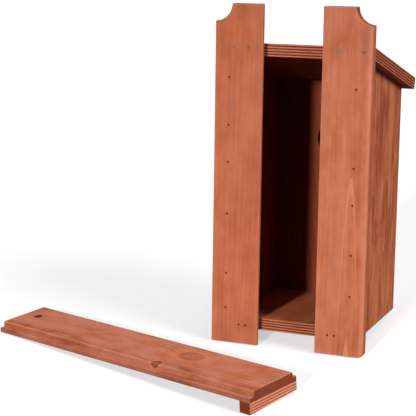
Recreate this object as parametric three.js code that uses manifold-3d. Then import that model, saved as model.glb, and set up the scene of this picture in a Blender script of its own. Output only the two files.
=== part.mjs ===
// A wooden nest box that is taken off its fixing from behind, with its slide panel beside it.
//
// Two upright rear boards leave a slot between them. The slide panel is screwed to a tree through the hole
// near its top. Its two thin lips run in rebates behind the rear boards, so the box drops down over it
// until the floor lands on the stop batten at the panel's foot.
//
// Here the box is off its panel. The rear boards reach below the floor, so the box leans on them and on
// the foot of its front wall. The panel lies on the ground with its batten under one end.
//
// Millimetres, +Z up. Box frame: X across, Y from the rear boards' inner face towards the front wall,
// Z up the boards from their feet. Panel frame: X along it from its top end, Y across, Z out of its face.

import * as THREE from 'three';
import { mergeVertices } from 'three/addons/utils/BufferGeometryUtils.js';
import Module from 'manifold-3d';

const wasm = await Module();
wasm.setup();

// ---- driving dimensions ----

const fit = 0.3; // gap left at every joint between two pieces

const boxWidth = 155; // over the rear boards and the roof
const boardHeight = 332;
const boardThickness = 11;
const boardWidth = 48;
const notchRadius = 16.5; // hollow at each rear board's outer top corner
const wornEdgeRadius = 3; // the right rear board's outer edge
const wornCornerRadius = 4.5; // the right rear board's outer foot
const rebateWidth = 5.5;
const rebateLip = 4; // wood left in front of the rebate

const wallInset = 9; // side walls stand in from the rear boards' outer edges
const boxDepth = 137; // rear boards' inner face to the front wall's outer face
const floorLift = 13; // rear boards reach this far below the floor
const plyThickness = 12; // floor and roof
const roofSlope = THREE.MathUtils.degToRad(14.5);
const roofRear = 282.5; // underside of the roof at the rear boards
const roofReach = 154; // rear boards' inner face to the eave, along the underside

const entranceRadius = 16;
const entranceHeight = 190;

const panelLength = 332;
const panelWidth = 66;
const panelFaceWidth = 55.5; // passes between the rear boards
const panelThickness = 10;
const panelLip = 4.8;
const screwHoleRadius = 4;
const screwHoleFromTop = 18;
const screwHoleAcross = 3.3; // off the middle, towards the side away from the viewer

const battenWidth = 12;
const battenThick = 11; // one end of the batten
const battenThin = 8.5; // its other end

const panelTopEnd = new THREE.Vector3(-280, -26, 0); // middle of the panel's top end, on the ground
const panelTurn = THREE.MathUtils.degToRad(-19.5);

const nailShank = 0.9;
const nailHead = 1.8;
const nailHeadThickness = 0.8;
const nailPoint = 2.5;
const wallNailLength = 30;
const battenNailLength = 17;
const nailClearance = 0.35; // round every nail in its hole
const nailSides = 8;
const flushDepth = 0; // head level with the wood
const punchedDepth = 1.2; // head punched below the wood

const leftBoardNails = [35, 70, 129, 180, 216, 262]; // heights, into the side wall
const rightBoardNails = [59, 99, 147, 182, 256];
const leftRoofNails = [44, 58]; // distances from the box's middle, into the roof's rear edge
const rightRoofNails = [46, 69];
const rearFloorNails = [42, 49]; // distances from the box's middle, into the floor's rear edge
const frontWallNails = [35, 80, 125, 170, 215];
const frontFloorNail = 34; // distance from the box's middle
const wallToFloorNails = [35, 92]; // distances from the rear boards
const roofNails = [42, 75, 108]; // distances from the rear boards
const battenNails = [-22, -2]; // places across the panel

const curveSteps = 8; // per quarter turn
const holeSides = 32;

// ---- derived dimensions ----

const half = boxWidth / 2;
const slotHalf = half - boardWidth;
const wallOuter = half - wallInset;
const wallInner = wallOuter - boardThickness;
const frontInner = boxDepth - boardThickness;
const lean = Math.atan2(floorLift, boxDepth);
const panelRise = Math.atan2(battenThick, panelLength - battenWidth);
const roofUnderside = (y) => roofRear - y * Math.tan(roofSlope);
const wallMiddle = (wallOuter + wallInner) / 2;
const floorMiddle = floorLift + plyThickness / 2;

// ---- colours ----

const pine = { color: 0xc67050, roughness: 0.72, metalness: 0 };
const shadedPine = { color: 0xa4583c, roughness: 0.75, metalness: 0 };
const plywood = { color: 0xb96a4b, roughness: 0.75, metalness: 0 };
const panelPine = { color: 0xbe6c55, roughness: 0.72, metalness: 0 };
const steel = { color: 0x8d8781, roughness: 0.4, metalness: 1 };

// ---- solids ----

function solidOf(geometry) {
  const bare = geometry.clone();
  bare.deleteAttribute('normal');
  bare.deleteAttribute('uv');
  const merged = mergeVertices(bare, 1e-4);
  const index = merged.index.array;
  const triangles = [];
  for (let i = 0; i < index.length; i += 3) {
    const [a, b, c] = index.slice(i, i + 3);
    if (a !== b && b !== c && c !== a) triangles.push(a, b, c);
  }
  const mesh = new wasm.Mesh({
    numProp: 3,
    vertProperties: new Float32Array(merged.attributes.position.array),
    triVerts: new Uint32Array(triangles),
  });
  return new wasm.Manifold(mesh);
}

function geometryOf(solid) {
  const mesh = solid.getMesh();
  const geometry = new THREE.BufferGeometry();
  geometry.setAttribute('position', new THREE.BufferAttribute(mesh.vertProperties, 3));
  geometry.setIndex(new THREE.BufferAttribute(mesh.triVerts, 1));
  geometry.computeVertexNormals();
  return geometry;
}

function outline(points) {
  return new THREE.Shape(points.map(([a, b]) => new THREE.Vector2(a, b)));
}

function extrusion(shape, depth) {
  return new THREE.ExtrudeGeometry(shape, { depth, bevelEnabled: false, curveSegments: curveSteps });
}

// A Y-Z outline carried along X from x0 to x1.
function alongX(shape, x0, x1) {
  const turn = new THREE.Matrix4().makeBasis(
    new THREE.Vector3(0, 1, 0),
    new THREE.Vector3(0, 0, 1),
    new THREE.Vector3(1, 0, 0),
  );
  return solidOf(extrusion(shape, x1 - x0).applyMatrix4(turn).translate(x0, 0, 0));
}

// An X-Z outline carried along Y from y0 to y1.
function alongY(shape, y0, y1) {
  return solidOf(extrusion(shape, y1 - y0).rotateX(Math.PI / 2).translate(0, y1, 0));
}

// An X-Y outline carried along Z from z0 to z1.
function alongZ(shape, z0, z1) {
  return solidOf(extrusion(shape, z1 - z0).translate(0, 0, z0));
}

// A round bar along Y, its middle at the origin.
function roundBar(radius, length, sides) {
  return new THREE.CylinderGeometry(radius, radius, length, sides);
}

// ---- the box's boards ----

// side is -1 for the left rear board and +1 for the right one.
function rearBoard(side, edgeRadius, cornerRadius) {
  const outer = side * half;
  const inner = side * slotHalf;

  const section = new THREE.Shape();
  section.moveTo(inner, -boardThickness);
  if (edgeRadius > 0) {
    section.lineTo(outer - side * edgeRadius, -boardThickness);
    section.quadraticCurveTo(outer, -boardThickness, outer, edgeRadius - boardThickness);
  } else {
    section.lineTo(outer, -boardThickness);
  }
  section.lineTo(outer, 0);
  section.lineTo(inner + side * rebateWidth, 0);
  section.lineTo(inner + side * rebateWidth, rebateLip - boardThickness);
  section.lineTo(inner, rebateLip - boardThickness);

  const face = new THREE.Shape();
  const notchStart = side > 0 ? Math.PI : 0;
  face.moveTo(inner, 0);
  face.lineTo(inner, boardHeight);
  face.lineTo(outer - side * notchRadius, boardHeight);
  face.absarc(outer, boardHeight, notchRadius, notchStart, notchStart + side * Math.PI / 2, side < 0);
  if (cornerRadius > 0) {
    face.lineTo(outer, cornerRadius);
    face.quadraticCurveTo(outer, 0, outer - side * cornerRadius, 0);
  } else {
    face.lineTo(outer, 0);
  }
  return alongZ(section, 0, boardHeight).intersect(alongY(face, -boardThickness - 1, 1));
}

function sideWall(side) {
  const rear = fit;
  const front = frontInner - fit;
  const shape = outline([
    [rear, floorLift],
    [front, floorLift],
    [front, roofUnderside(front) - fit],
    [rear, roofUnderside(rear) - fit],
  ]);
  const [x0, x1] = side > 0 ? [wallInner, wallOuter] : [-wallOuter, -wallInner];
  return alongX(shape, x0, x1);
}

function frontWall() {
  const shape = outline([
    [frontInner, floorLift],
    [boxDepth, floorLift],
    [boxDepth, roofUnderside(boxDepth) - fit],
    [frontInner, roofUnderside(frontInner) - fit],
  ]);
  const hole = roundBar(entranceRadius, boardThickness * 3, holeSides);
  hole.translate(0, boxDepth, entranceHeight);
  return alongX(shape, -wallOuter, wallOuter).subtract(solidOf(hole));
}

function floorBoard() {
  const shape = outline([
    [fit, floorLift],
    [frontInner - fit, floorLift],
    [frontInner - fit, floorLift + plyThickness],
    [fit, floorLift + plyThickness],
  ]);
  return alongX(shape, fit - wallInner, wallInner - fit);
}

// The rear edge is cut upright to bed on the rear boards, and the eave is square to the slope.
function roofBoard() {
  const eaveY = roofReach + plyThickness * Math.sin(roofSlope);
  const eaveZ = roofUnderside(roofReach) + plyThickness * Math.cos(roofSlope);
  const shape = outline([
    [fit, roofUnderside(fit)],
    [roofReach, roofUnderside(roofReach)],
    [eaveY, eaveZ],
    [fit, roofUnderside(fit) + plyThickness / Math.cos(roofSlope)],
  ]);
  return alongX(shape, -half, half);
}

// ---- the slide panel and its batten ----

function slidePanel() {
  const lip = panelWidth / 2;
  const face = panelFaceWidth / 2;
  const shape = outline([
    [-lip, 0],
    [lip, 0],
    [lip, panelLip],
    [face, panelLip],
    [face, panelThickness],
    [-face, panelThickness],
    [-face, panelLip],
    [-lip, panelLip],
  ]);
  const hole = roundBar(screwHoleRadius, panelThickness * 3, holeSides).rotateX(Math.PI / 2);
  hole.translate(screwHoleFromTop, screwHoleAcross, 0);
  return alongX(shape, 0, panelLength).subtract(solidOf(hole));
}

function stopBatten() {
  const end = panelWidth / 2;
  const shape = outline([
    [-end, -fit],
    [-end, -battenThick],
    [end, -battenThin],
    [end, -fit],
  ]);
  return alongX(shape, panelLength - battenWidth, panelLength);
}

// ---- nails ----

// A nail along Y, with the top of its head at the origin and its point below. grow widens every face.
function nailForm(length, grow, above) {
  const head = nailHead + grow;
  const shank = nailShank + grow;
  const profile = [
    [0, -length - grow],
    [shank, -length + nailPoint],
    [shank, -nailHeadThickness - grow],
    [head, -nailHeadThickness - grow],
    [head, above],
    [0, above],
  ];
  return new THREE.LatheGeometry(profile.map(([r, y]) => new THREE.Vector2(r, y)), nailSides);
}

// at is the point on the wood, into the direction that the nail is driven.
function driven(form, at, into, depth) {
  const turn = new THREE.Quaternion().setFromUnitVectors(new THREE.Vector3(0, -1, 0), into);
  const place = at.clone().addScaledVector(into, depth);
  return form.applyMatrix4(new THREE.Matrix4().compose(place, turn, new THREE.Vector3(1, 1, 1)));
}

const vector = (x, y, z) => new THREE.Vector3(x, y, z);
const numbered = (stem, i) => `${stem}_nail_${i + 1}`;

// Every nail of one side of the box. side is -1 on the left and +1 on the right.
function sideNails(word, side, boardHeights, roofPlaces) {
  const board = `${word}_back_board`;
  const wall = `${word}_side_wall`;
  const forward = vector(0, 1, 0);
  const backward = vector(0, -1, 0);
  const inward = vector(-side, 0, 0);
  const alongRoof = vector(0, Math.cos(roofSlope), -Math.sin(roofSlope));
  const throughRoof = vector(0, -Math.sin(roofSlope), -Math.cos(roofSlope));
  const wallX = side * wallMiddle;

  const rearIntoWall = boardHeights.map((z, i) => ({
    name: numbered(board, i),
    at: vector(wallX, -boardThickness, z),
    into: forward,
    depth: punchedDepth,
    joins: [board, wall],
  }));
  const roofMiddle = roofUnderside(-boardThickness) + plyThickness / 2 / Math.cos(roofSlope);
  const rearIntoRoof = roofPlaces.map((x, i) => ({
    name: numbered(`${word}_roof_rear`, i),
    at: vector(side * x, -boardThickness, roofMiddle),
    into: alongRoof,
    depth: flushDepth,
    joins: [board, 'roof'],
  }));
  const rearIntoFloor = rearFloorNails.map((x, i) => ({
    name: numbered(`${word}_floor_rear`, i),
    at: vector(side * x, -boardThickness, floorMiddle),
    into: forward,
    depth: punchedDepth,
    joins: [board, 'floor'],
  }));
  const frontIntoWall = frontWallNails.map((z, i) => ({
    name: numbered(`${word}_front`, i),
    at: vector(wallX, boxDepth, z),
    into: backward,
    depth: punchedDepth,
    joins: ['front_wall', wall],
  }));
  const frontIntoFloor = {
    name: `${word}_front_floor_nail`,
    at: vector(side * frontFloorNail, boxDepth, floorMiddle),
    into: backward,
    depth: punchedDepth,
    joins: ['front_wall', 'floor'],
  };
  const wallIntoFloor = wallToFloorNails.map((y, i) => ({
    name: numbered(`${word}_floor_side`, i),
    at: vector(side * wallOuter, y, floorMiddle),
    into: inward,
    depth: punchedDepth,
    joins: [wall, 'floor'],
  }));
  const roofIntoWall = roofNails.map((y, i) => ({
    name: numbered(`${word}_roof_top`, i),
    at: vector(wallX, y, roofUnderside(y)).addScaledVector(throughRoof, -plyThickness),
    into: throughRoof,
    depth: flushDepth,
    joins: ['roof', wall],
  }));
  const intoFloor = [...rearIntoFloor, frontIntoFloor, ...wallIntoFloor];
  return [...rearIntoWall, ...rearIntoRoof, ...frontIntoWall, ...roofIntoWall, ...intoFloor];
}

function panelNails() {
  const x = panelLength - battenWidth / 2;
  return battenNails.map((y, i) => ({
    name: numbered('batten', i),
    at: vector(x, y, panelThickness),
    into: vector(0, 0, -1),
    depth: punchedDepth / 2,
    joins: ['slide_panel', 'stop_batten'],
  }));
}

// ---- assembly ----

function meshOf(name, geometry, look) {
  const mesh = new THREE.Mesh(geometry, new THREE.MeshStandardMaterial(look));
  mesh.name = name;
  return mesh;
}

// Bores the nail holes into the pieces that they join, and adds pieces and nails to one group.
function assemble(pieces, nails, nailLength) {
  const group = new THREE.Group();
  for (const { at, into, depth, joins } of nails) {
    const bore = solidOf(driven(nailForm(nailLength, nailClearance, nailHead), at, into, depth));
    for (const name of joins) pieces[name].solid = pieces[name].solid.subtract(bore);
  }
  for (const [name, { solid, look }] of Object.entries(pieces)) {
    group.add(meshOf(name, geometryOf(solid), look));
  }
  for (const { name, at, into, depth } of nails) {
    const form = driven(nailForm(nailLength, 0, 0), at, into, depth);
    group.add(meshOf(name, geometryOf(solidOf(form)), steel));
  }
  return group;
}

const box = assemble(
  {
    left_back_board: { solid: rearBoard(-1, 0, 0), look: pine },
    right_back_board: { solid: rearBoard(1, wornEdgeRadius, wornCornerRadius), look: pine },
    left_side_wall: { solid: sideWall(-1), look: shadedPine },
    right_side_wall: { solid: sideWall(1), look: shadedPine },
    front_wall: { solid: frontWall(), look: shadedPine },
    floor: { solid: floorBoard(), look: plywood },
    roof: { solid: roofBoard(), look: plywood },
  },
  [
    ...sideNails('left', -1, leftBoardNails, leftRoofNails),
    ...sideNails('right', 1, rightBoardNails, rightRoofNails),
  ],
  wallNailLength,
);
box.rotation.x = -lean;

const panel = assemble(
  {
    slide_panel: { solid: slidePanel(), look: panelPine },
    stop_batten: { solid: stopBatten(), look: plywood },
  },
  panelNails(),
  battenNailLength,
);
panel.rotation.set(0, -panelRise, panelTurn, 'ZYX');
panel.position.copy(panelTopEnd);

// The origin is on the ground, under the middle of the whole.
const whole = new THREE.Group();
whole.add(box, panel);
whole.updateMatrixWorld(true);
const reach = new THREE.Box3().setFromObject(whole, true);
const middle = reach.getCenter(new THREE.Vector3());
whole.position.set(-middle.x, -middle.y, -reach.min.z);

export default whole;
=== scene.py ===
"""A nest box of red-brown stained pine and plywood, off its fixing and seen from behind, with its slide
panel on the ground beside it. Board sizes are in millimetres in each board's own frame; a board's frame
matrix turns them into the metres of the shared frame."""

from math import atan2, cos, pi, radians, sin, tan

import bpy
import numpy as np
from mathutils import Euler, Matrix, Vector


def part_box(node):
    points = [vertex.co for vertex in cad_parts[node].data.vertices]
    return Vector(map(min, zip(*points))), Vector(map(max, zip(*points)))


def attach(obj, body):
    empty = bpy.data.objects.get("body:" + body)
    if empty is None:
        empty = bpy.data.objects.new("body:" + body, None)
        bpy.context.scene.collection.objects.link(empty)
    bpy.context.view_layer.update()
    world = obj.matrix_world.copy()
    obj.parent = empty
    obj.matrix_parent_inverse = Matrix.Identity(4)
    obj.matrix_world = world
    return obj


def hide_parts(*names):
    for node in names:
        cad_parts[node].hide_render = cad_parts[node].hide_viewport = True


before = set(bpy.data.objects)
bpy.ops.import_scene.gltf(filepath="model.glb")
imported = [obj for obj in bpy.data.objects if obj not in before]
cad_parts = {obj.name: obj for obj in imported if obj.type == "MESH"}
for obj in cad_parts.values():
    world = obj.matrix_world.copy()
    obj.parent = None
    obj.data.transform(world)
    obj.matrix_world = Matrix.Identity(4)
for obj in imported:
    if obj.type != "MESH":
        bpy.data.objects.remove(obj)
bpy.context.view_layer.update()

# ---- sizes of the box, in millimetres ----

MM = 0.001
FIT = 0.3  # gap between neighbouring boards
BOX_WIDTH = 155.0
BOARD_HEIGHT = 332.0
BOARD_THICKNESS = 11.0
BOARD_WIDTH = 48.0
NOTCH_RADIUS = 16.5
WORN_EDGE = 3.0
WORN_FOOT = 4.5
REBATE_WIDTH = 5.5
REBATE_LIP = 4.0
WALL_INSET = 9.0
BOX_DEPTH = 137.0
FLOOR_LIFT = 13.0
PLY = 12.0
ROOF_SLOPE = radians(14.5)
ROOF_REAR = 282.5
ROOF_REACH = 154.0
ENTRANCE_RADIUS = 16.0
ENTRANCE_HEIGHT = 190.0
ENTRANCE_PATCH = 20.0  # half the square of mesh round the entrance hole

PANEL_LENGTH = 332.0
PANEL_WIDTH = 66.0
PANEL_FACE = 55.5
PANEL_THICKNESS = 10.0
PANEL_LIP = 4.8
PANEL_FACE_EDGE = 1.6
SCREW_HOLE_RADIUS = 4.0
SCREW_HOLE_FROM_TOP = 18.0
SCREW_HOLE_ACROSS = 3.3
SCREW_HOLE_PATCH = SCREW_HOLE_RADIUS + 2.5
BATTEN_WIDTH = 12.0
BATTEN_THICK = 11.0
BATTEN_THIN = 8.5
PANEL_TOP_END = Vector((-0.280, -0.026, 0.0))  # from the box's own origin, in metres
PANEL_TURN = radians(-19.5)

SAWN_EDGE = 0.5  # how far a sawn edge is eased
GUARD_LINES = (0.25, 1.3)  # mesh lines beside every eased edge
FINE = 0.36  # mesh pitch round a nail
NAIL_REACH = 2.52  # how far that fine pitch goes
CRATER_RADIUS = 1.1
CRATER_DEPTH = 1.1
BATTEN_CRATER_DEPTH = 0.7
FLUSH_HEAD = 1.7
FLUSH_DOME = 0.25
PUNCHED_HEAD = 0.95
SHANK = 0.88

HALF = BOX_WIDTH / 2
SLOT_HALF = HALF - BOARD_WIDTH
WALL_OUTER = HALF - WALL_INSET
WALL_INNER = WALL_OUTER - BOARD_THICKNESS
FRONT_INNER = BOX_DEPTH - BOARD_THICKNESS


def roof_underside(y):
    """The height of the roof's underside: its height at the rear less y times the slope's tangent."""
    return ROOF_REAR - y * tan(ROOF_SLOPE)


# ---- the boards' frames ----

left_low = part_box("left_back_board")[0]
right_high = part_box("right_back_board")[1]
lean = atan2(FLOOR_LIFT, BOX_DEPTH)
box_origin = Vector(
    ((left_low.x + right_high.x) / 2, left_low.y + BOARD_THICKNESS * MM * cos(lean), 0.0)
)
BOX = Matrix.Translation(box_origin) @ Matrix.Rotation(-lean, 4, "X")

rise = atan2(BATTEN_THICK, PANEL_LENGTH - BATTEN_WIDTH)
PANEL = Matrix.Translation(box_origin + PANEL_TOP_END) @ Euler((0, -rise, PANEL_TURN)).to_matrix().to_4x4()

ROOF = BOX @ Matrix.Translation((0, 0, ROOF_REAR * MM)) @ Matrix.Rotation(-ROOF_SLOPE, 4, "X")

# Grain frames have the grain along Z: the panel's grain runs along its own X.
ALONG_X = Matrix(((0, 0, 1, 0), (1, 0, 0, 0), (0, 1, 0, 0), (0, 0, 0, 1)))
PANEL_GRAIN = PANEL @ ALONG_X


# ---- surfaces ----

def graded(start, end, pitch, centres=(), lines=()):
    """Places from start to end: multiples of pitch, finer round every centre, the lines asked for and guard
    lines by both ends. Marks depend only on where they are, so opposite faces get the same ones."""
    even = np.arange(np.ceil(start / pitch), end / pitch) * pitch
    guards = [start + g for g in GUARD_LINES] + [end - g for g in GUARD_LINES]
    fine = [c + np.arange(-NAIL_REACH, NAIL_REACH + FINE / 2, FINE) for c in centres]
    lines = np.array(lines, float)
    lines = lines[(lines > start) & (lines < end)]
    every = np.concatenate([even, guards, *fine])
    every = np.unique(every[(every > start + 0.12) & (every < end - 0.12)].round(4))
    clear = np.diff(every, prepend=start - pitch) > 0.12
    if len(lines):
        clear &= abs(every[:, None] - lines).min(1) > 0.2
    return np.unique(np.concatenate([[start, end], every[clear], lines]))


def eased_loop(corners, pitch=6.0, centres=(), lines=(), curve_steps=4):
    """A closed outline, counter-clockwise, through (a, b, ease) corners. Each corner is the quadratic curve
    (1 - t) squared of its start, 2t(1 - t) of the corner and t squared of its end, where start and end lie
    ease away. centres and lines are places along a. Returns the points, the offset direction at each, and
    how near each is to a corner, from 0 to 1."""
    corners = np.array(corners, float)
    at, ease = corners[:, :2], corners[:, 2:]
    ahead = np.roll(at, -1, 0) - at
    ahead /= np.linalg.norm(ahead, axis=1, keepdims=True)
    start = at - np.roll(ahead, 1, 0) * ease
    end = at + ahead * ease
    points, near = [], []
    for i in range(len(at)):
        t = np.linspace(0, 1, curve_steps + 1 if ease[i, 0] > 0 else 1)[:, None]
        points.append((1 - t) ** 2 * start[i] + 2 * t * (1 - t) * at[i] + t**2 * end[i])
        near.append(np.full(len(t), 1.0 if ease[i, 0] > 0 else 0.0))
        there = start[(i + 1) % len(at)]
        axis = abs(ahead[i]).argmax()
        sides = sorted((end[i][axis], there[axis]))
        marks = graded(*sides, pitch, *((centres, lines) if axis == 0 else ()))[1:-1]
        share = np.sort((marks - end[i][axis]) / (there[axis] - end[i][axis]))
        points.append(end[i] + share[:, None] * (there - end[i]))
        run = np.linalg.norm(there - end[i])
        near.append(np.clip(1 - np.minimum(share, 1 - share) * run / GUARD_LINES[1], 0, 1))
    points, near = np.concatenate(points), np.concatenate(near)
    before = points - np.roll(points, 1, 0)
    after = np.roll(points, -1, 0) - points
    n1 = np.stack([before[:, 1], -before[:, 0]], 1) / np.linalg.norm(before, axis=1, keepdims=True)
    n2 = np.stack([after[:, 1], -after[:, 0]], 1) / np.linalg.norm(after, axis=1, keepdims=True)
    out = (n1 + n2) / (1 + (n1 * n2).sum(1, keepdims=True))
    return points, out, near


def eased_stations(length, pitch=6.0, centres=(), lines=(), ease=SAWN_EDGE, steps=4):
    """Places along a board and how far its outline is drawn in at each: at both ends a quarter circle, with
    the place at ease times (1 - cosine) and the outline drawn in by ease times (1 - sine)."""
    turn = np.linspace(0, pi / 2, steps + 1)
    rise_in, inset_in = ease * (1 - np.cos(turn)), ease * (1 - np.sin(turn))
    middle = graded(ease, length - ease, pitch, centres, lines)[1:-1]
    at = np.concatenate([rise_in, middle, (length - rise_in)[::-1]])
    inset = np.concatenate([inset_in, np.zeros(len(middle)), inset_in[::-1]])
    return at, inset


def loft(loop, at, inset, length, top=None):
    """The outline carried along its board: row i is the outline less its offset direction times inset[i], at
    height at[i]. Where top gives the board's height over the outline, the rows between its ends spread out
    evenly to meet it. Returns the points and how near each is to an edge, from 0 to 1."""
    points, out, near = loop
    across = points[None] - out[None] * inset[:, None, None]
    height = np.broadcast_to(at[:, None], across.shape[:2])
    if top is not None:
        over = top(across[..., 1]) - length
        share = np.clip((at - GUARD_LINES[1]) / (length - 2 * GUARD_LINES[1]), 0, 1)
        height = height + over * share[:, None]
    ends = np.minimum(at, length - at)
    near_end = np.clip(1 - (ends - SAWN_EDGE) / GUARD_LINES[1], 0, 1)
    edge = np.maximum(near[None, :], near_end[:, None])
    return np.concatenate([across, height[..., None]], 2), edge


def grid_faces(rows, columns):
    """Quads of a grid whose columns close on themselves."""
    i, j = np.meshgrid(np.arange(rows - 1), np.arange(columns), indexing="ij")
    after = (j + 1) % columns
    low, high = i * columns, (i + 1) * columns
    return np.stack([low + j, low + after, high + after, high + j], -1)


def ring_faces(rings):
    """Quads between neighbouring closed rings of vertex numbers."""
    rings = np.array(rings)
    low, high = rings[:-1], rings[1:]
    return np.stack([low, np.roll(low, -1, 1), np.roll(high, -1, 1), high], -1).reshape(-1, 4)


def bored(points, faces, centre, radius, reach, ease=0.4):
    """Cuts a round hole through a board's two faces. On each face a square patch of the grid, reach wide on
    each side of the centre, is taken out. Rings then lead from the square to the circle, down the bore and
    out to the square on the other face: each is, at its own depth, the centre plus its radius times the
    cosine across and the sine along of the directions in which the square's points lie."""
    rows, columns = points.shape[:2]
    a, b, c = points[..., 0], points[..., 1], points[..., 2]
    inside_a, inside_c = abs(a - centre[0]) < reach + 0.01, abs(c - centre[1]) < reach + 0.01
    level = (b.min(), b.max())
    numbers = np.arange(rows * columns).reshape(rows, columns)
    squares, used = [], []
    i = np.flatnonzero((inside_a & inside_c & (abs(b - level[1]) < 0.01)).any(1))
    for side in level:
        j = np.flatnonzero((inside_a & (abs(b - side) < 0.01))[i[0]])
        patch = numbers[i[0] : i[-1] + 1, j[0] : j[-1] + 1]
        if a.ravel()[patch[0, 0]] > a.ravel()[patch[0, -1]]:
            patch = patch[:, ::-1]
        squares.append(np.concatenate([patch[0, :-1], patch[:-1, -1], patch[-1, :0:-1], patch[:0:-1, 0]]))
        used.append((i[0], i[-1], j[0], j[-1]))
    keep = np.ones(faces.shape[:2], bool)
    for i0, i1, j0, j1 in used:
        keep[i0:i1, j0:j1] = False
    flat = points.reshape(-1, 3)
    corner = flat[squares[0]]
    turn = np.arctan2(corner[:, 2] - centre[1], corner[:, 0] - centre[0])
    thick = level[1] - level[0]
    wall = [(radius + ease, 0), (radius + ease * 0.3, ease * 0.3), (radius, ease)]
    wall += [(radius, thick / 2)] + [(r, thick - d) for r, d in wall[::-1]]
    added, rings = [], [squares[0]]
    for r, depth in wall:
        ring = np.zeros((len(turn), 3))
        ring[:, 0] = centre[0] + r * np.cos(turn)
        ring[:, 1] = level[0] + depth
        ring[:, 2] = centre[1] + r * np.sin(turn)
        rings.append(len(flat) + sum(len(x) for x in added) + np.arange(len(turn)))
        added.append(ring)
    rings.append(squares[1])
    # How deep each ring lies in the bore; board() uses it as end grain and as painted shade that darkens the
    # bore walls.
    deep = np.repeat([0, 0.5, 1, 1, 1, 0.5, 0], len(turn))
    return np.concatenate([flat, *added]), np.concatenate([faces[keep], ring_faces(rings)]), deep


def craters(points, level, depth, centres):
    """Sinks round craters into one face: vertices near a crater's rim move onto its circle, and those inside
    it move through the board by depth, whose sign says which way is inward. Returns how strongly each vertex
    is stained by its nail: the exponential of minus the sixth power of its distance over 1.1 radii."""
    stain = np.zeros(points.shape[:2])
    on_face = abs(points[..., 1] - level) < 0.01
    for ca, cc in centres:
        da, dc = points[..., 0] - ca, points[..., 2] - cc
        far = np.hypot(da, dc)
        stain = np.maximum(stain, np.exp(-((far / (CRATER_RADIUS * 1.1)) ** 6)) * on_face)
        rim = on_face & (abs(far - CRATER_RADIUS) < FINE * 0.55)
        grow = np.where(rim, CRATER_RADIUS / np.maximum(far, 1e-6), 1)
        points[..., 0] = ca + da * grow
        points[..., 2] = cc + dc * grow
        points[..., 1] += np.where(on_face & (far < CRATER_RADIUS - FINE * 0.55), depth, 0)
    return stain


def make_piece(name, place, points, faces, caps, values):
    """A mesh object from grid vertices in millimetres, quads and end caps. values are named numbers, each
    given over the vertices with one number for the caps, kept on the faces' corners."""
    matrix = np.array(place)
    placed = points.reshape(-1, 3) * MM @ matrix[:3, :3].T + matrix[:3, 3]
    quads = faces.reshape(-1, 4)
    mesh = bpy.data.meshes.new(name)
    mesh.from_pydata(placed.tolist(), [], quads.tolist() + [list(map(int, cap)) for cap in caps])
    for word, (over, on_cap) in values.items():
        spread = np.concatenate([over.ravel()[quads.ravel()], np.full(sum(map(len, caps)), on_cap)])
        mesh.attributes.new(word, "FLOAT", "CORNER").data.foreach_set("value", spread.astype(np.float32))
    mesh.set_sharp_from_angle(angle=radians(35))
    # Finding the sharp edges makes every face smooth, so the flat end caps are marked after it.
    smooth = np.concatenate([np.ones(len(quads), bool), np.zeros(len(caps), bool)])
    mesh.polygons.foreach_set("use_smooth", smooth)
    mesh.update()
    piece = bpy.data.objects.new(name, mesh)
    bpy.context.scene.collection.objects.link(piece)
    return piece


def end_caps(rows, columns):
    """The first and the last row of a grid, each as one face that looks outwards."""
    first = np.arange(columns)[::-1]
    last = (rows - 1) * columns + np.arange(columns)
    return [first, last]


def board(name, place, points, edge, material, body, stain=None, end=None, bore=None):
    """One lofted board: grid faces and two end caps, with its edge, end and dark values, on its body."""
    rows, columns = points.shape[:2]
    faces = grid_faces(rows, columns)
    end = np.zeros((rows, columns)) if end is None else end
    end[[0, -1]] = 1.0
    stain = np.zeros((rows, columns)) if stain is None else stain
    deep = []
    if bore:
        points, faces, deep = bored(points, faces, *bore)
    values = {
        "edge": (np.concatenate([edge.ravel(), np.zeros(len(deep))]), 0.0),
        "end": (np.concatenate([end.ravel(), deep]), 1.0),
        # dark holds the nails' iron stains and, on the bore walls, painted shade in the holes.
        "dark": (np.concatenate([stain.ravel(), deep]), 0.0),
    }
    piece = make_piece(name, place, points, faces, end_caps(rows, columns), values)
    piece.data.materials.append(material)
    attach(piece, body)
    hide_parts(name)
    return piece


# ---- nails: where they are, read from the frame ----

def nail_line(node):
    """A nail's head centre, direction and length in metres. Its rings are even round its axis, so the mean
    of its corners lies on the axis, and its point is the corner furthest from that mean."""
    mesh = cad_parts[node].data
    corners = np.empty(len(mesh.vertices) * 3)
    mesh.vertices.foreach_get("co", corners)
    corners = np.unique(corners.reshape(-1, 3).round(6), axis=0)
    mean = corners.mean(0)
    point = corners[np.linalg.norm(corners - mean, axis=1).argmax()]
    into = (point - mean) / np.linalg.norm(point - mean)
    length = ((point - corners) @ into).max()
    return Vector(point - into * length), Vector(into), length


nails = {name: nail_line(name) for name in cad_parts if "_nail" in name}


def nail_places(place, axes, *stems):
    """Where the nails of these stems meet a board, as millimetres along two of its axes."""
    back = place.inverted()
    heads = [back @ nails[name][0] / MM for name in nails if name.startswith(stems)]
    return [(h[axes[0]], h[axes[1]]) for h in heads]


# ---- shader shop ----

class Wire:
    """A shader value that can be reckoned with: +, -, *, / and ** add Math nodes."""

    def __init__(self, shop, socket):
        self.shop, self.socket = shop, socket

    def math(self, operation, *others):
        return self.shop.node("Math", {"operation": operation}, (self, *others))

    def __add__(self, other):
        return self.math("ADD", other)

    def __sub__(self, other):
        return self.math("SUBTRACT", other)

    def __rsub__(self, other):
        return self * -1.0 + other

    def __mul__(self, other):
        return self.math("MULTIPLY", other)

    def __truediv__(self, other):
        return self.math("DIVIDE", other)

    def __pow__(self, other):
        return self.math("POWER", other)

    __radd__, __rmul__ = __add__, __mul__


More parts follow.
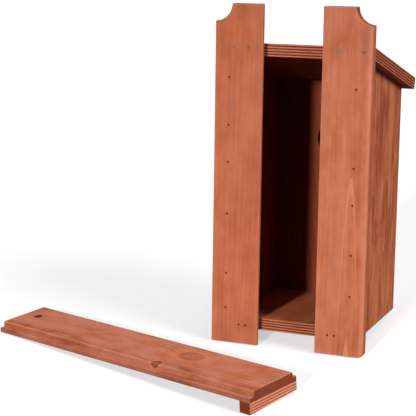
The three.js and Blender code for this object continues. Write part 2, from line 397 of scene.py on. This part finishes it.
class Shop:
    """One material under construction."""

    def __init__(self, name):
        self.material = bpy.data.materials.new(name)
        self.material.use_nodes = True
        self.tree = self.material.node_tree
        self.tree.nodes.clear()

    def node(self, kind, settings=(), values=(), output=0):
        """Adds a node. settings come first; values are a list for the first sockets or a dict by socket."""
        made = self.tree.nodes.new(f"ShaderNode{kind}")
        for key, value in dict(settings).items():
            if key == "stops":
                ramp = made.color_ramp
                while len(ramp.elements) < len(value):
                    ramp.elements.new(1.0)
                for element, (at, colour) in zip(ramp.elements, value):
                    element.position, element.color = at, (*colour, 1.0)
            else:
                setattr(made, key, value)
        for key, value in values.items() if isinstance(values, dict) else enumerate(values):
            socket = made.inputs[key]
            if isinstance(value, Wire):
                self.tree.links.new(value.socket, socket)
            else:
                socket.default_value = (*value, 1.0) if socket.type == "RGBA" else value
        return Wire(self, made.outputs[output]) if len(made.outputs) else None

    def local(self, place):
        """Millimetres in a board's frame, as three wires."""
        whole = self.node("TexCoord", output="Object")
        turned = {
            "Vector": whole,
            "Location": place.translation,
            "Rotation": place.to_euler(),
            "Scale": (MM, MM, MM),
        }
        board_place = self.node("Mapping", {"vector_type": "TEXTURE"}, turned)
        return [self.node("SeparateXYZ", (), [board_place], axis) for axis in range(3)]

    def noise(self, x, y, z, sizes, detail=2.0, rough=0.5, shift=0.0):
        """Noise from 0 to 1 whose features are as long as sizes, in millimetres, along each axis."""
        scaled = [wire / size + shift for wire, size in zip((x, y, z), sizes)]
        values = {"Vector": self.node("CombineXYZ", (), scaled), "Scale": 1.0}
        return self.node("TexNoise", (), {**values, "Detail": detail, "Roughness": rough})

    def band(self, value, low, high):
        """0 below low, 1 above high, smooth between. low may be above high."""
        return self.node("MapRange", {"interpolation_type": "SMOOTHSTEP"}, [value, low, high, 0.0, 1.0])

    def mix(self, share, one, other):
        """From one colour to the other by share, held between 0 and 1."""
        return self.node("Mix", {"data_type": "RGBA"}, {0: share, 6: one, 7: other}, 2)

    def tinted(self, colour, tint):
        """A colour multiplied by a plain one."""
        settings = {"data_type": "RGBA", "blend_type": "MULTIPLY"}
        return self.node("Mix", settings, {0: 1.0, 6: colour, 7: tint}, 2)

    def attribute(self, name):
        return self.node("Attribute", {"attribute_name": name}, (), "Fac")

    def finish(self, colour, rough, height, height_distance, **plain):
        bump = self.node("Bump", (), {"Height": height, "Distance": height_distance, "Strength": 1.0})
        shader = self.node(
            "BsdfPrincipled", (), {"Base Color": colour, "Roughness": rough, "Normal": bump, **plain}
        )
        self.node("OutputMaterial", (), {"Surface": shader})
        return self.material


def srgb(red, green, blue):
    """The linear colour of a 0 to 255 screen colour."""
    share = np.array([red, green, blue]) / 255
    return tuple(np.where(share <= 0.04045, share / 12.92, ((share + 0.055) / 1.055) ** 2.4).tolist())


DARK_STAIN = srgb(140, 65, 40)
MID_STAIN = srgb(182, 96, 60)
LIGHT_STAIN = srgb(208, 125, 85)
GREY_STAIN = srgb(158, 98, 78)
PINK_STAIN = srgb(196, 122, 102)
END_STAIN = srgb(122, 54, 36)
# Pale edge colour: rubbed wear, and also a painted highlight along the rounded arrises.
EDGE_WEAR_AND_HIGHLIGHT = srgb(204, 134, 112)
# Deep brown used as painted shade on the faces of the box's cavity.
CAVITY_SHADE_BROWN = srgb(120, 40, 9)
# Iron stain round the nails, also used as painted shade on the walls of the bored holes.
IRON_STAIN_AND_HOLE_SHADE = srgb(58, 28, 22)
KNOT_STAIN = srgb(106, 40, 20)
HALO_STAIN = srgb(206, 118, 76)
# How strongly painted shade darkens pine on the faces of the cavity.
PINE_CAVITY_SHADE = 0.86  # how far the cavity's deep brown covers pine
DULL = {"Specular IOR Level": 0.18}
WOOD_RELIEF = 0.0002  # in metres, like the next
STEEL_RELIEF = 0.0001


def painted_cavity_shade(shop, colour, amount):
    """Painted shade inside the box: on the faces of the cavity the colour goes deep brown, for the dark that
    falls inside the closed box.
    """
    x, y, z = shop.local(BOX)
    out_x = x.math("ABSOLUTE") - (WALL_INNER + 0.1)
    out_y = (y - FRONT_INNER / 2).math("ABSOLUTE") - (FRONT_INNER / 2 + 0.1)
    out_z = z + y * tan(ROOF_SLOPE) - (ROOF_REAR + 0.1)
    under = z * -1.0 + (FLOOR_LIFT + PLY - 0.2)
    out = out_x.math("MAXIMUM", out_y).math("MAXIMUM", out_z).math("MAXIMUM", under)
    return shop.mix(shop.band(out, 0.25, 0.05) * amount, colour, CAVITY_SHADE_BROWN)


def stained_pine(
    name, place, pith, drift, gap, seed,
    tone=0.0, figure=0.1, bend=20.0, streak=1.0, mottle=0.0, worn=0.3, pink=0.0, crown=0.0,
    tint=(), flame=(), knots=(), bands=(),
):
    """Stained pine. Growth rings are circles round a pith line that drifts across as it goes along the
    grain, so faces show flames and streaks and ends show arcs; bend is how far it wanders. figure, streak
    and mottle say how strongly rings, long streaks and wavy patches show. tone lightens the whole, crown
    darkens the board's top, worn is how pale its edges go, as rubbed wear and as a painted highlight on
    the arrises, pink is how pink its pale patches are and tint multiplies its colour. flame is (x, half
    width, z) of the strip and the top of the rings that show most. knots are (x, z, half width, half
    length, darkness) on the slide panel's raised face, and bands are (x, half width, darkness) of darker
    strips along the grain."""
    shop = Shop(name)
    x, y, z = shop.local(place)
    bend_x = shop.noise(x, y, z, (60, 60, 230), 2.0, shift=seed) - 0.5
    bend_y = shop.noise(x, y, z, (60, 60, 230), 2.0, shift=seed + 31.7) - 0.5
    off_x = x + bend_x * bend - (z * drift[0] + pith[0])
    off_y = y + bend_y * bend - (z * drift[1] + pith[1])
    radius = (off_x * off_x + off_y * off_y) ** 0.5
    fibre = shop.noise(x, y, z, (0.6, 0.6, 22), 3.0, 0.6, seed)
    streaks = shop.noise(x, y, z, (2.6, 2.6, 120), 2.0, 0.6, seed + 5)
    broad = shop.noise(x, y, z, (10, 10, 190), 1.0, 0.5, seed + 9)
    blotch = shop.noise(x, y, z, (17, 17, 30), 3.0, 0.62, seed + 13)
    flecks = shop.noise(x, y, z, (0.8, 0.8, 4.5), 1.0, 0.5, seed + 17)

    eye, halo = None, None
    for kx, kz, half_width, half_length, darkness in knots:
        deep = (y - PANEL_THICKNESS) / half_width
        far = (((x - kx) / half_width) ** 2 + deep * deep + ((z - kz) / half_length) ** 2) ** 0.5
        far = far + (shop.noise(x, y, z, (4, 4, 6), 3.0, shift=kx) - 0.5) * 0.7
        radius = radius + (far * far * -0.3).math("EXPONENT") * (gap * 2.2)
        rim = shop.band(far, 1.15, 0.9) * shop.band(far, 0.5, 0.88)
        rings = (far * 17.0).math("SINE") * 0.14 + 0.45
        this_eye = (shop.band(far, 1.15, 0.65) * rings + rim * 0.25) * darkness
        this_halo = shop.band(far, 2.0, 1.3) * shop.band(far, 0.95, 1.2) * 0.6
        eye = this_eye if eye is None else eye.math("MAXIMUM", this_eye)
        halo = this_halo if halo is None else halo.math("MAXIMUM", this_halo)

    ring = (radius / gap + 1 / 3 + (fibre - 0.5) * (0.05 if flame else 0.12)).math("FRACT")
    late = shop.band(ring, 0.15, 0.85) * shop.band(ring, 1.0, 0.9)
    if flame:
        late = shop.band(ring, 0.86, 0.97) * shop.band(ring, 1.0, 0.98) + 0.3
        beside = shop.band((x - flame[0]).math("ABSOLUTE"), flame[1], flame[1] * 0.5)
        figure = beside * shop.band(z, flame[2] + 6, flame[2] + 2) * figure + figure * 0.15
    depth = (
        0.5 + tone
        + (late - 0.35) * figure
        + (streaks - 0.5) * (0.55 * streak)
        + (broad - 0.5) * (0.55 * streak)
        + (blotch - 0.5) * 0.62
        + (fibre - 0.5) * 0.26
        - shop.band(flecks, 0.66, 0.8) * 0.12
    )
    if mottle:
        ripple = shop.noise(x, y, z, (17, 17, 56), 4.0, 0.62, seed + 21) + (fibre - 0.5) * 0.08
        patch = shop.band(ripple, 0.44, 0.57) * 0.55 + shop.band(ripple, 0.3, 0.7) * 0.45
        dapple = shop.noise(x, y, z, (5, 5, 12), 1.0, 0.5, seed + 23)
        depth = depth + (patch - 0.5 + shop.band(dapple, 0.58, 0.75) * 0.3) * mottle
    if crown:
        depth = depth - shop.band(z, BOARD_HEIGHT * 0.7, BOARD_HEIGHT) * crown
    for middle_x, half_width, darkness in bands:
        sway = (shop.noise(x, y, z, (90, 90, 60), 2.0, shift=seed + 27) - 0.5) * 9
        across = (x + sway - middle_x).math("ABSOLUTE")
        depth = depth - shop.band(across, half_width, half_width * 0.3) * darkness
    stops = [(0.0, DARK_STAIN), (0.5, MID_STAIN), (1.0, LIGHT_STAIN)]
    colour = shop.node("ValToRGB", {"stops": stops}, [depth])
    grey = shop.band(shop.noise(x, y, z, (9, 9, 70), 2.0, 0.6, seed + 25), 0.5, 0.78)
    colour = shop.mix(grey * 0.35, colour, GREY_STAIN)
    if pink:
        colour = shop.mix(shop.band(blotch, 0.25, 0.7) * pink, colour, PINK_STAIN)
    if tint:
        colour = shop.tinted(colour, tint)
    if knots:
        colour = shop.mix(halo * 0.55, colour, HALO_STAIN)
        colour = shop.mix(eye, colour, KNOT_STAIN)
    end = shop.attribute("end")
    end_grain = shop.mix(late * 0.15 + (blotch - 0.35) * 0.8 + (fibre - 0.5), END_STAIN, DARK_STAIN)
    colour = shop.mix(end * 0.9, colour, end_grain)
    # Pale edges: partly rubbed wear, partly a painted highlight on the arrises.
    edge = shop.attribute("edge") * (shop.noise(x, y, z, (9, 9, 24), 2.0, shift=seed + 3) * 1.4 - 0.2)
    colour = shop.mix(edge * worn, colour, EDGE_WEAR_AND_HIGHLIGHT)
    # Painted shade: the faces of the cavity go deep brown.
    colour = painted_cavity_shade(shop, colour, PINE_CAVITY_SHADE)
    # Iron stains round the nails, and painted shade darkening the walls of the entrance and screw holes.
    colour = shop.mix(shop.attribute("dark") * 0.8, colour, IRON_STAIN_AND_HOLE_SHADE)
    rough = 0.6 + (fibre - 0.5) * 0.25 + (blotch - 0.5) * 0.2 + end * 0.18
    height = fibre * 0.6 + late * 0.2 - flecks * 0.15 + blotch * 0.3
    return shop.finish(colour, rough, height, WOOD_RELIEF, **DULL)


PLY_BRIGHT = srgb(198, 124, 97)
PLY_FRESH = srgb(226, 140, 106)
PLY_DARK = srgb(96, 38, 24)
PLY_PAIR = 2.6  # one ply seen along its grain and one seen across it
BRIGHT_SHARE = 0.5
PLY_GROOVE = 0.14
PLY_CORNER = 0.4
PLY_ARRIS = 0.35
PLY_PITCH = 0.33


def stained_plywood(
    name, place, seed, tone=0.0, cavity_shade=0.72, share_bright=BRIGHT_SHARE, lit=0.0, dark_beyond=None
):
    """Stained birch plywood: a plain rotary-cut face, and edges striped by plies whose grain turns by a
    right angle from one to the next. Its frame has the plies stacked along Z. share_bright is the bright
    ply's share of a pair, and lit is 1 for a fresh, paler edge. Further than dark_beyond from the middle
    along Y, the edge is all dark."""
    shop = Shop(name)
    x, y, z = shop.local(place)
    end = shop.attribute("end")
    sway = shop.noise(x, y, z, (45, 45, 900), 2.0, shift=seed) - 0.5
    share = ((z + sway * 0.6) / PLY_PAIR + 0.06).math("FRACT")
    bright = shop.band(share, 0.0, 0.14) * shop.band(share, share_bright + 0.12, share_bright - 0.02)
    long_fibre = shop.noise(x, y, z, (26, 26, 0.5), 3.0, 0.6, seed + 2)
    dots = shop.noise(x, y, z, (0.7, 0.7, 0.7), 2.0, 0.6, seed + 4)
    worn = shop.noise(x, y, z, (14, 14, 3), 2.0, 0.5, seed + 12)
    if dark_beyond:
        bright = bright * shop.band(y.math("ABSOLUTE"), dark_beyond + 0.2, dark_beyond - 0.2)
    brightest = PLY_FRESH if lit else PLY_BRIGHT
    bright_colour = shop.mix((long_fibre - 0.25) * 1.5 + (worn - 0.5) + lit, MID_STAIN, brightest)
    dark_colour = shop.mix(shop.band(dots, 0.42, 0.7) * 0.6 + lit * 0.35, PLY_DARK, DARK_STAIN)
    edge_colour = shop.mix(bright, dark_colour, bright_colour)

    wave = shop.noise(x, y, z, (26, 170, 900), 2.0, 0.5, seed + 6)
    figure = (wave * 22.0 + (dots - 0.5) * 0.6).math("SINE") * 0.5 + 0.5
    pores = shop.noise(x, y, z, (0.6, 7.0, 0.6), 2.0, 0.6, seed + 8)
    blotch = shop.noise(x, y, z, (24, 34, 24), 3.0, 0.55, seed + 10)
    depth = 0.42 + tone + (figure - 0.5) * 0.22 + (blotch - 0.5) * 0.6 + (pores - 0.5) * 0.4
    stops = [(0.0, DARK_STAIN), (0.55, MID_STAIN), (1.0, LIGHT_STAIN)]
    face_colour = shop.node("ValToRGB", {"stops": stops}, [depth])
    # A plate's caps are its faces, so its end value is 0 on its edges and 1 on its faces.
    colour = shop.mix(end, edge_colour, face_colour)
    # Pale edges: partly rubbed wear, partly a painted highlight on the arrises.
    edge = shop.attribute("edge") * (blotch * 1.2 - 0.2)
    colour = shop.mix(edge * 0.2, colour, EDGE_WEAR_AND_HIGHLIGHT)
    # Painted shade darkens the plywood's faces inside the cavity.
    colour = painted_cavity_shade(shop, colour, cavity_shade) if cavity_shade else colour
    rough = 0.62 + (pores - 0.5) * 0.25 + (1.0 - end) * 0.12
    relief = {0: end, 2: bright * 0.8 + dots * 0.3, 3: pores * 0.5 + blotch * 0.3}
    height = shop.node("Mix", {"data_type": "FLOAT"}, relief)
    return shop.finish(colour, rough, height, WOOD_RELIEF, **DULL)


def nail_steel(name, metal, film, metallic):
    """Dull nail steel under a broken film of stain or rust."""
    shop = Shop(name)
    x, y, z = shop.local(Matrix.Identity(4))
    patch = shop.noise(x, y, z, (1.6, 1.6, 1.6), 3.0, 0.6)
    rust = shop.band(patch, 0.45, 0.66)
    colour = shop.mix(rust * 0.8, metal, film)
    rough = 0.42 + rust * 0.3
    fine = shop.noise(x, y, z, (0.35, 0.35, 0.35), 2.0)
    return shop.finish(colour, rough, fine + rust, STEEL_RELIEF, Metallic=metallic)


# ---- the box's pieces ----

def rear_board(name, side, material, worn_edge, worn_foot):
    """An L-shaped section, rebated behind its inner edge, carried up the board. drawn_in moves its outer edge
    inwards: in the notch by the root of (its radius squared - distance below the board's top squared), and
    at the worn foot by its radius - the root of (its radius squared - distance below the round's top
    squared). Vertices follow by their share of the width, and the nails sit in craters."""
    outer, inner = side * HALF, side * SLOT_HALF
    front = -BOARD_THICKNESS
    ease = SAWN_EDGE
    section = [
        (inner, front, ease),
        (outer, front, worn_edge or ease),
        (outer, 0, ease),
        (inner + side * REBATE_WIDTH, 0, ease),
        (inner + side * REBATE_WIDTH, front + REBATE_LIP, 0),
        (inner, front + REBATE_LIP, ease / 2),
    ]
    section = section if side > 0 else section[::-1]
    stem = name.removesuffix("_back_board")
    stems = tuple(stem + joint for joint in ("_back_board", "_roof_rear", "_floor_rear"))
    places = nail_places(BOX, (0, 2), *stems)
    loop = eased_loop(section, 5.0, sorted({round(a, 2) for a, _ in places}), curve_steps=5)
    at, inset = eased_stations(BOARD_HEIGHT, 6.0, sorted({round(c, 1) for _, c in places}))

    turn = np.linspace(0, pi / 2, 19)[1:-1]
    notch_at = BOARD_HEIGHT - NOTCH_RADIUS * np.cos(turn)
    ledge = BOARD_HEIGHT - NOTCH_RADIUS
    foot_at = worn_foot * (1 - np.cos(turn[::3])) if worn_foot else []
    new = np.concatenate([notch_at, [ledge - 0.4, ledge], foot_at])
    new = new[(new > SAWN_EDGE) & (new < BOARD_HEIGHT - SAWN_EDGE)]
    old = (at < ledge - 0.5) | (at > BOARD_HEIGHT - SAWN_EDGE - 0.01)
    at, inset = np.concatenate([at[old], new]), np.concatenate([inset[old], np.zeros(len(new))])
    order = np.argsort(at)
    at, inset = at[order], inset[order]

    points, edge = loft(loop, at, inset, BOARD_HEIGHT)
    stain = craters(points, front, CRATER_DEPTH, places)
    below_top = np.clip(BOARD_HEIGHT - at, 0, NOTCH_RADIUS)
    drawn_in = np.sqrt(NOTCH_RADIUS**2 - below_top**2)
    drawn_in = np.where(at >= ledge, np.maximum(drawn_in, 0.4), 0)
    if worn_foot:
        low = np.clip(worn_foot - at, 0, worn_foot)
        drawn_in = drawn_in + worn_foot - np.sqrt(worn_foot**2 - low**2)
    in_notch = (at >= ledge)[:, None]
    if worn_edge:
        # The wear stops at the notch, so its round section shrinks there to a sawn edge.
        across, deep = HALF - side * points[..., 0], points[..., 1] - front
        curve = in_notch & (across < worn_edge + 0.01) & (deep < worn_edge + 0.01)
        # In the notch the pale edge, wear and painted highlight, is cut to a quarter.
        edge = np.where(in_notch & (across < worn_edge + 1.5), edge * 0.25, edge)
        shrink = np.where(curve, ease / worn_edge, 1)
        points[..., 0] = side * (HALF - across * shrink)
        points[..., 1] = front + deep * shrink
    guard = GUARD_LINES[1] + (worn_edge or ease)
    share = np.clip((side * points[..., 0] - SLOT_HALF) / (BOARD_WIDTH - guard), 0, 1)
    end = np.where(in_notch & (side * points[..., 0] > HALF - 0.01), 0.85, 0)
    points[..., 0] -= side * drawn_in[:, None] * share
    return board(name, BOX, points, edge, material, "nest_box", stain, end)


def wall(name, x0, x1, y0, y1, material, hole=None):
    """An upright board whose top is the roof's underside less the gap between boards. hole is a height, a
    radius and a reach."""
    ease = SAWN_EDGE
    lines, heights, bore = (), (), None
    if hole:
        height, radius, reach = hole
        lines = np.linspace(-reach, reach, 15)
        heights = height - FLOOR_LIFT + lines
        bore = ((0, height), radius, reach)
    corners = [(x0, y0, ease), (x1, y0, ease), (x1, y1, ease), (x0, y1, ease)]
    loop = eased_loop(corners, 5.0, lines=lines)
    length = roof_underside(y1) - FIT - FLOOR_LIFT
    at, inset = eased_stations(length, 5.0, lines=heights)
    points, edge = loft(loop, at, inset, length, lambda y: roof_underside(y) - FIT - FLOOR_LIFT)
    points[..., 2] += FLOOR_LIFT
    return board(name, BOX, points, edge, material, "nest_box", bore=bore)


def plate(name, place, outline, low, high, material, body="nest_box", skew=None):
    """A plywood plate: its outline is carried through its thickness, and is drawn in by PLY_GROOVE over the
    dark half of every pair of plies."""
    loop = eased_loop([(*corner, PLY_CORNER) for corner in outline], 4.0)
    thick = high - low
    heights = np.unique(np.concatenate([np.arange(low, high, PLY_PITCH), [high]]).round(3))
    share = ((heights - low) / PLY_PAIR) % 1
    groove = np.where(share > BRIGHT_SHARE, PLY_GROOVE, 0.0)
    at, inset = eased_stations(thick, 99.0, ease=PLY_ARRIS)
    middle = heights[(heights > low + 0.5) & (heights < high - 0.5)] - low
    groove = np.interp(middle, heights - low, groove)
    ends = (at <= PLY_ARRIS) | (at >= thick - PLY_ARRIS)
    at, inset = np.concatenate([at[ends], middle]), np.concatenate([inset[ends], groove])
    order = np.argsort(at)
    at, inset = at[order], inset[order]
    points, edge = loft(loop, at, inset, thick)
    points[..., 2] += low
    if skew:
        points = skew(points)
    return board(name, place, points, edge, material, body)


pine_left = stained_pine(
    "pine_left_board", BOX, (-128, 38), (0.02, 0.01), 4.6, 1.3,
    figure=0.07, streak=0.6, pink=0.12, crown=0.12,
)
# The right board's rings drift by one gap in 160 mm, so flames top out on its outer face at 10 and 170 mm.
pine_right = stained_pine(
    "pine_right_board", BOX, (61, 12.15), (0.0, 0.0125), 2.0, 4.1,
    tone=0.13, figure=0.7, bend=0.0, streak=0.9, worn=0.5, pink=0.3, crown=0.2,
    flame=(61, 12, 170), bands=((69, 3.5, 0.1),),
)
pine_side = stained_pine(
    "pine_side_walls", BOX, (34, 66), (0.03, 0.05), 9.0, 7.7,
    tone=0.1, figure=0.3, bend=34.0, streak=0.5, mottle=0.6, tint=(1.0, 0.95, 0.92),
)
pine_front = stained_pine("pine_front_wall", BOX, (12, 190), (0.02, -0.12), 3.8, 2.9, figure=0.4)
panel_knots = ((-25.5, 213.5, 4.8, 5.6, 1.25), (5.5, 229.5, 9.0, 14.0, 0.62))
pine_panel = stained_pine(
    "pine_slide_panel", PANEL_GRAIN, (-46, -6), (0.02, 0.01), 5.2, 6.2,
    tone=0.02, figure=0.25, bend=12.0, streak=0.5, worn=0.06, pink=0.65, tint=(0.93, 0.98, 1.0),
    knots=panel_knots, bands=((-22, 5.0, 0.35), (-31, 4.5, 0.3)),
)
# The floor gets no painted cavity shade, the roof's underside some and the batten none.
ply_floor = stained_plywood("ply_floor", BOX @ Matrix.Translation((0, 0, FLOOR_LIFT * MM)), 3.1, 0.26, 0.0)
ply_roof = stained_plywood("ply_roof", ROOF, 5.3, cavity_shade=0.4, share_bright=0.54)
BATTEN = PANEL @ Matrix.Translation((0, 0, -FIT * MM)) @ Matrix.Rotation(pi, 4, "X")
ply_batten = stained_plywood(
    "ply_batten", BATTEN, 8.9, cavity_shade=0.0, share_bright=0.76, lit=1.0, dark_beyond=PANEL_WIDTH / 2 - 0.4
)
steel = nail_steel("nail_steel", srgb(112, 96, 92), srgb(104, 62, 46), 0.4)
stained_steel = nail_steel("stained_nail_steel", srgb(84, 52, 42), srgb(58, 28, 20), 0.3)

rear_board("left_back_board", -1, pine_left, 0, 0)
rear_board("right_back_board", 1, pine_right, WORN_EDGE, WORN_FOOT)
wall("left_side_wall", -WALL_OUTER, -WALL_INNER, FIT, FRONT_INNER - FIT, pine_side)
wall("right_side_wall", WALL_INNER, WALL_OUTER, FIT, FRONT_INNER - FIT, pine_side)
entrance = (ENTRANCE_HEIGHT, ENTRANCE_RADIUS, ENTRANCE_PATCH)
wall("front_wall", -WALL_OUTER, WALL_OUTER, FRONT_INNER, BOX_DEPTH, pine_front, entrance)

floor_x, floor_y = WALL_INNER - FIT, FRONT_INNER - FIT
plate(
    "floor",
    BOX @ Matrix.Translation((0, 0, FLOOR_LIFT * MM)),
    [(-floor_x, FIT), (floor_x, FIT), (floor_x, floor_y), (-floor_x, floor_y)],
    0.0,
    PLY,
    ply_floor,
)


def upright_rear(points):
    """The roof's rear edge is cut upright: y shifts back by height times the slope's tangent, times a share
    that falls from 1 at the rear to 0 at the eave, which stays square."""
    y = points[..., 1]
    share = 1 - np.clip(y / ROOF_REACH, 0, 1)
    points[..., 1] = y - share * points[..., 2] * tan(ROOF_SLOPE)
    return points


roof_run = ROOF_REACH / cos(ROOF_SLOPE)
plate(
    "roof",
    ROOF,
    [(-HALF, FIT / cos(ROOF_SLOPE)), (HALF, FIT / cos(ROOF_SLOPE)), (HALF, roof_run), (-HALF, roof_run)],
    0.0,
    PLY,
    ply_roof,
    skew=upright_rear,
)


# ---- the slide panel ----

def slide_panel():
    """A prism: a section with a thin lip on each side, carried straight along the panel, with the screw hole
    bored through."""
    lip, face = PANEL_WIDTH / 2, PANEL_FACE / 2
    ease = SAWN_EDGE
    section = [
        (-lip, 0, ease),
        (lip, 0, ease),
        (lip, PANEL_LIP, ease),
        (face, PANEL_LIP, 0),
        (face, PANEL_THICKNESS, PANEL_FACE_EDGE),
        (-face, PANEL_THICKNESS, PANEL_FACE_EDGE),
        (-face, PANEL_LIP, 0),
        (-lip, PANEL_LIP, ease),
    ]
    places = nail_places(PANEL_GRAIN, (0, 2), "batten")
    lines = np.linspace(-SCREW_HOLE_PATCH, SCREW_HOLE_PATCH, 9)
    loop = eased_loop(section, 4.0, [a for a, _ in places], SCREW_HOLE_ACROSS + lines)
    at, inset = eased_stations(PANEL_LENGTH, 6.0, [places[0][1]], SCREW_HOLE_FROM_TOP + lines)
    points, edge = loft(loop, at, inset, PANEL_LENGTH)
    stain = craters(points, PANEL_THICKNESS, -BATTEN_CRATER_DEPTH, places)
    bore = ((SCREW_HOLE_ACROSS, SCREW_HOLE_FROM_TOP), SCREW_HOLE_RADIUS, SCREW_HOLE_PATCH)
    return board(
        "slide_panel", PANEL_GRAIN, points, edge, pine_panel, "panel", stain=stain, bore=bore
    )


def tapered(points):
    """The batten was ripped out of true: a height is multiplied by (thickness there - gap) over (full
    thickness - gap), and the thickness falls evenly from the near end to the far end."""
    share = (points[..., 1] + PANEL_WIDTH / 2) / PANEL_WIDTH
    thick = BATTEN_THICK + (BATTEN_THIN - BATTEN_THICK) * (1 - share)
    points[..., 2] *= (thick - FIT) / (BATTEN_THICK - FIT)
    return points


slide_panel()
batten_x = PANEL_LENGTH - BATTEN_WIDTH
plate(
    "stop_batten",
    BATTEN,
    [
        (batten_x, -PANEL_WIDTH / 2),
        (PANEL_LENGTH, -PANEL_WIDTH / 2),
        (PANEL_LENGTH, PANEL_WIDTH / 2),
        (batten_x, PANEL_WIDTH / 2),
    ],
    0.0,
    BATTEN_THICK - FIT,
    ply_batten,
    body="panel",
    skew=tapered,
)


# ---- nails ----

def nail_piece(name, head, into, length):
    """A wire nail: a profile of radius against depth, turned round its axis, so a point is (radius times
    cosine, radius times sine, depth). Heads into the roof are flush and wide; the rest are small heads
    punched under the wood's surface."""
    flush = "_roof_" in name
    r = FLUSH_HEAD if flush else PUNCHED_HEAD
    dome = FLUSH_DOME if flush else 0.0
    length = length / MM
    radius = [0.01, 0.55 * r, 0.88 * r, r, 0.95 * r, SHANK + 0.02, SHANK, SHANK, 0.05]
    depth = [-dome, 0.03 - dome, 0.12 - dome, 0.2, 0.8, 1.0, 1.6, length - 2.5, length - 0.1]
    turn = np.linspace(0, 2 * pi, 20, endpoint=False)
    r, d = np.array(radius)[:, None], np.array(depth)[:, None]
    points = np.stack([r * np.cos(turn), r * np.sin(turn), d + 0 * turn], 2)[:, ::-1]
    place = Matrix.Translation(head) @ into.to_track_quat("Z", "Y").to_matrix().to_4x4()
    rows, columns = points.shape[:2]
    faces, caps = grid_faces(rows, columns), end_caps(rows, columns)
    piece = make_piece(name + "_turned", place, points, faces, caps, {})
    piece.data.materials.append(steel if flush else stained_steel)
    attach(piece, "panel" if name.startswith("batten") else "nest_box")
    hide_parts(name)


for nail_name, line in nails.items():
    nail_piece(nail_name, *line)

# ---- floor, light and camera ----

ground = bpy.data.meshes.new("ground")
GROUND_REACH = 9.0
corners = [(-GROUND_REACH, -GROUND_REACH, 0), (GROUND_REACH, -GROUND_REACH, 0)]
corners += [(GROUND_REACH, GROUND_REACH, 0), (-GROUND_REACH, GROUND_REACH, 0)]
ground.from_pydata(corners, [], [(0, 1, 2, 3)])
ground_object = bpy.data.objects.new("ground", ground)
bpy.context.scene.collection.objects.link(ground_object)
pale = Shop("pale_ground")
pale_look = {
    "Base Color": (0.45, 0.45, 0.45),
    "Roughness": 0.9,
    "Emission Color": (1, 1, 1),
    "Emission Strength": 0.55,
}
pale_shader = pale.node("BsdfPrincipled", (), pale_look)
pale.node("OutputMaterial", (), {"Surface": pale_shader})
ground.materials.append(pale.material)
# The ground is seen but throws no light back, so the box's inside stays as dark as in a black-lined studio.
ground_object.visible_diffuse = False
ground_object.visible_glossy = False


def soft_light(name, azimuth, elevation, share, spread):
    """Parallel light from an azimuth and elevation, as from a large far softbox; azimuth 0 is in front,
    along -Y. A share of 1 lights a facing white surface fully white. spread is the source's angle."""
    data = bpy.data.lights.new(name, "SUN")
    data.energy, data.angle = share * pi, radians(spread)
    a, e = radians(azimuth), radians(elevation)
    back = Vector((sin(a) * cos(e), -cos(a) * cos(e), sin(e)))
    lamp = bpy.data.objects.new(name, data)
    lamp.rotation_euler = back.to_track_quat("Z", "Y").to_euler()
    bpy.context.scene.collection.objects.link(lamp)


soft_light("key", -4.5, 21, 0.91, 6)
soft_light("overhead", 180, 81, 0.3, 24)
soft_light("side", 80, 35, 0.82, 30)

world = bpy.data.worlds.new("studio")
world.use_nodes = True
world.node_tree.nodes["Background"].inputs["Color"].default_value = (1.0, 1.0, 1.0, 1.0)
world.node_tree.nodes["Background"].inputs["Strength"].default_value = 0.085
bpy.context.scene.world = world
bpy.context.scene.view_settings.view_transform = "Standard"

CAMERA_AZIMUTH = radians(22.45)
CAMERA_ELEVATION = radians(15.7)
CAMERA_ROLL = radians(-1.32)
CAMERA_DISTANCE = 1.43
CAMERA_AIM = Vector((0.0051, 0.0407, 0.1196))
camera_data = bpy.data.cameras.new("camera")
camera_data.lens = 122.0
camera_data.sensor_width = 36.0
camera = bpy.data.objects.new("camera", camera_data)
away = Vector(
    (
        sin(CAMERA_AZIMUTH) * cos(CAMERA_ELEVATION),
        -cos(CAMERA_AZIMUTH) * cos(CAMERA_ELEVATION),
        sin(CAMERA_ELEVATION),
    )
)
camera.matrix_world = (
    Matrix.Translation(CAMERA_AIM + away * CAMERA_DISTANCE)
    @ away.to_track_quat("Z", "Y").to_matrix().to_4x4()
    @ Matrix.Rotation(CAMERA_ROLL, 4, "Z")
)
bpy.context.scene.collection.objects.link(camera)
bpy.context.scene.camera = camera
